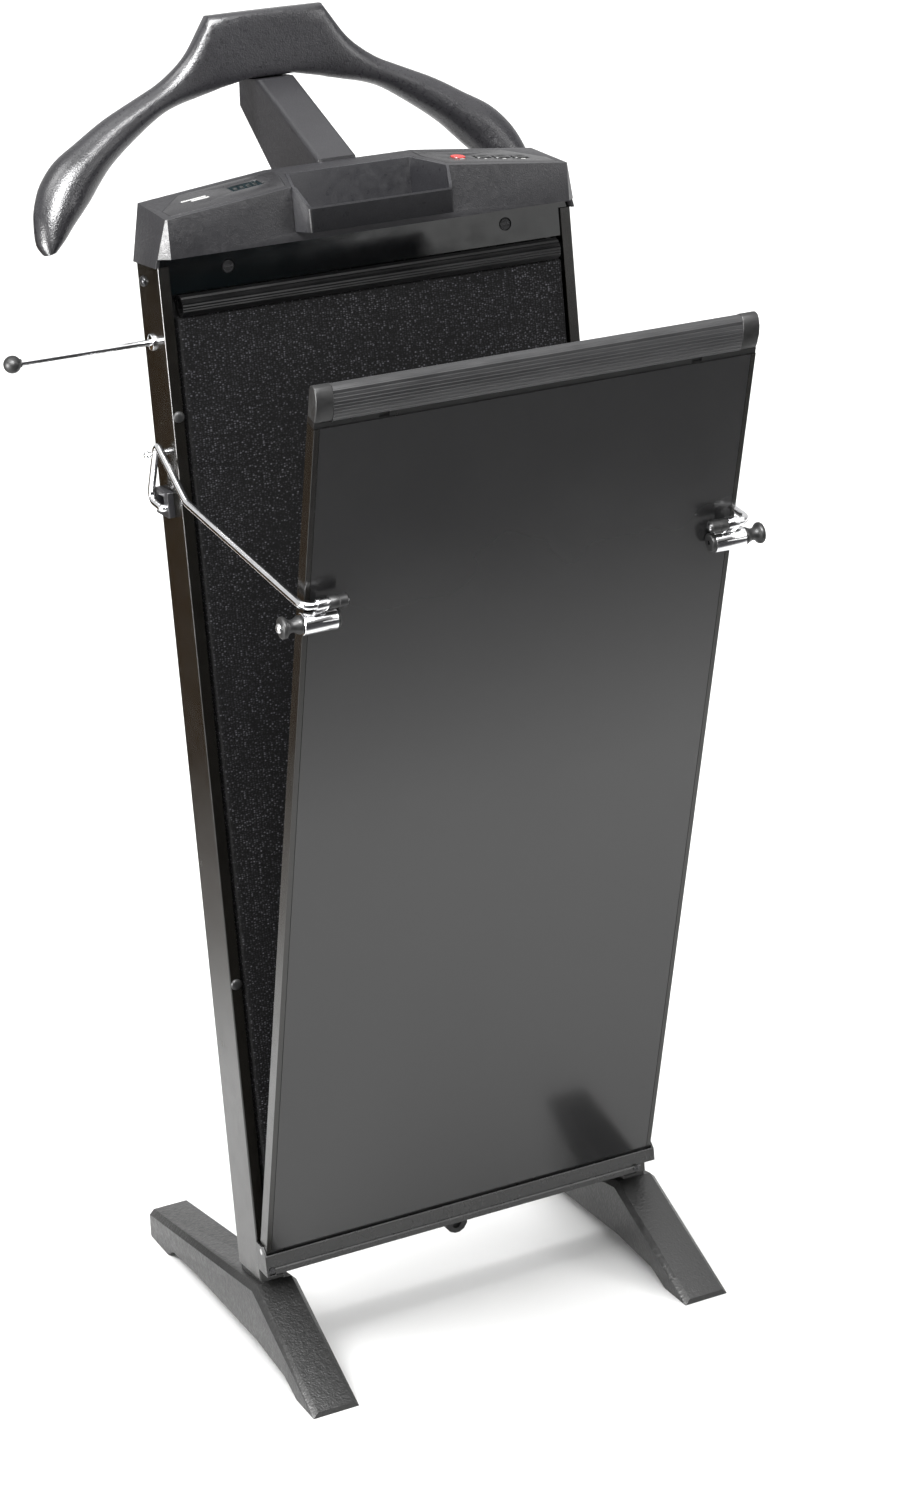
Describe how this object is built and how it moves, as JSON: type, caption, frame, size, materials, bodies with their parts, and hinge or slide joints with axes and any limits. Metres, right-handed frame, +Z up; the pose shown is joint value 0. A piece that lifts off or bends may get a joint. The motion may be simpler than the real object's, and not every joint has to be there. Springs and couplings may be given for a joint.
{
  "type": "trouser press",
  "caption": "Free-standing trouser press with a tilting front door on stay arms, a heated pad, a jacket hanger, a tray and a pull-out tie bar.",
  "frame": {"origin": "on the floor, at the middle of the press's floor outline", "axes": "+Z up; +X to the right seen from the front; +Y from the door towards the jacket hanger"},
  "size_m": [0.5236, 0.572, 1.0807],
  "materials": {
    "channel_paint": "satin",
    "black_metal": "satin",
    "board": "matt hardboard",
    "gloss_black": "mirror gloss",
    "textured_black": "fine moulded texture",
    "smooth_plate": "satin",
    "soft_black": "matt",
    "pad_cloth": "speckled weave",
    "foam": "open foam",
    "lining_felt": "felt",
    "heater_foil": "foil",
    "chrome": "polished",
    "zinc_steel": "zinc plated",
    "red_plastic": "satin",
    "black_keys": "satin",
    "circuit": "board"
  },
  "bodies": {
    "frame": {"back_panel": "board", "bottom_cross_rail": "black_metal", "circuit_board": "circuit", "control_plate": "smooth_plate", "cross_braces": "black_metal", "display_module": "circuit", "display_plate": "smooth_plate", "door_buffers": "soft_black", "door_pivot_pins": "zinc_steel", "fascia_strip": "gloss_black", "frame_screws": "zinc_steel", "grip_rail": "soft_black", "head_base": "textured_black", "head_cover": "textured_black", "heater_sheet": "heater_foil", "hinge_trough": "black_metal", "jacket_hanger": "textured_black", "left_foot": "textured_black", "left_side_channel": "channel_paint", "machine_screws": "zinc_steel", "mains_inlet": "soft_black", "neck_bracket": "textured_black", "pad_back_plate": "board", "pad_fabric": "pad_cloth", "pad_foam": "foam", "right_foot": "textured_black", "right_side_channel": "channel_paint", "side_dome_screws": "chrome", "stop_pins": "chrome", "tie_bar_bush": "chrome", "tie_bar_guide": "soft_black", "tray": "textured_black", "trough_end_brackets": "black_metal", "window_brackets": "black_metal"},
    "door": {"door_board": "board", "door_front_sheet": "gloss_black", "door_lining": "lining_felt", "door_left_trim": "channel_paint", "door_right_trim": "channel_paint", "door_foot_rail": "black_metal", "door_top_rail": "black_metal", "door_bumper": "soft_black", "bumper_end_caps": "soft_black"},
    "left_arm": {"left_stay_wire": "chrome", "left_sleeve": "soft_black"},
    "right_arm": {"right_stay_wire": "chrome", "right_sleeve": "soft_black"},
    "left_clip_body": {"left_clip": "chrome", "left_knob": "soft_black"},
    "right_clip_body": {"right_clip": "chrome", "right_knob": "soft_black"},
    "left_roller_body": {"left_roller": "soft_black"},
    "right_roller_body": {"right_roller": "soft_black"},
    "tie_bar": {"tie_bar_rod": "chrome", "tie_bar_ball": "chrome"},
    "power_key": {"power_button": "red_plastic"},
    "short_key": {"short_press_button": "black_keys"},
    "medium_key": {"medium_press_button": "black_keys"},
    "long_key": {"long_press_button": "black_keys"}
  },
  "joints": [
    {"name": "door_hinge", "type": "hinge", "parent": "frame", "child": "door", "pos_m": [0.03825, 0.01, 0.095], "axis": [-1, 0, 0], "range_deg": [0, 20.4]},
    {"name": "left_arm_pivot", "type": "hinge", "parent": "frame", "child": "left_arm", "pos_m": [-0.14025, 0.0425, 0.7135], "axis": [1, 0, 0], "range_deg": [0, 74.6]},
    {"name": "left_clip_pivot", "type": "hinge", "parent": "left_arm", "child": "left_clip_body", "pos_m": [-0.12975, -0.23774, 0.691], "axis": [-1, 0, 0], "range_deg": [0, 95]},
    {"name": "left_roller_spin", "type": "hinge", "parent": "left_clip_body", "child": "left_roller_body", "pos_m": [-0.12775, -0.22794, 0.67634], "axis": [1, 0, 0], "continuous": true},
    {"name": "right_arm_pivot", "type": "hinge", "parent": "frame", "child": "right_arm", "pos_m": [0.21675, 0.0425, 0.7135], "axis": [1, 0, 0], "range_deg": [0, 74.6]},
    {"name": "right_clip_pivot", "type": "hinge", "parent": "right_arm", "child": "right_clip_body", "pos_m": [0.20625, -0.23774, 0.691], "axis": [-1, 0, 0], "range_deg": [0, 95]},
    {"name": "right_roller_spin", "type": "hinge", "parent": "right_clip_body", "child": "right_roller_body", "pos_m": [0.20425, -0.22794, 0.67634], "axis": [1, 0, 0], "continuous": true},
    {"name": "tie_bar_slide", "type": "slide", "parent": "frame", "child": "tie_bar", "axis": [1, 0, 0], "range_m": [0, 0.1048]},
    {"name": "power_key_travel", "type": "slide", "parent": "frame", "child": "power_key", "axis": [-0.1098, 0.1093, -0.9879], "range_m": [0, 0.0015], "stiffness_N_per_m": 400, "springref_m": -0.0006},
    {"name": "short_key_travel", "type": "slide", "parent": "frame", "child": "short_key", "axis": [-0.1098, 0.1093, -0.9879], "range_m": [0, 0.0015], "stiffness_N_per_m": 400, "springref_m": -0.0006},
    {"name": "medium_key_travel", "type": "slide", "parent": "frame", "child": "medium_key", "axis": [-0.1098, 0.1093, -0.9879], "range_m": [0, 0.0015], "stiffness_N_per_m": 400, "springref_m": -0.0006},
    {"name": "long_key_travel", "type": "slide", "parent": "frame", "child": "long_key", "axis": [-0.1098, 0.1093, -0.9879], "range_m": [0, 0.0015], "stiffness_N_per_m": 400, "springref_m": -0.0006}
  ],
  "couplings": [
    {"joint": "left_arm_pivot", "follows": "door_hinge", "ratio": 3.6461},
    {"joint": "left_clip_pivot", "follows": "door_hinge", "ratio": 4.6461},
    {"joint": "right_arm_pivot", "follows": "door_hinge", "ratio": 3.6461},
    {"joint": "right_clip_pivot", "follows": "door_hinge", "ratio": 4.6461}
  ]
}
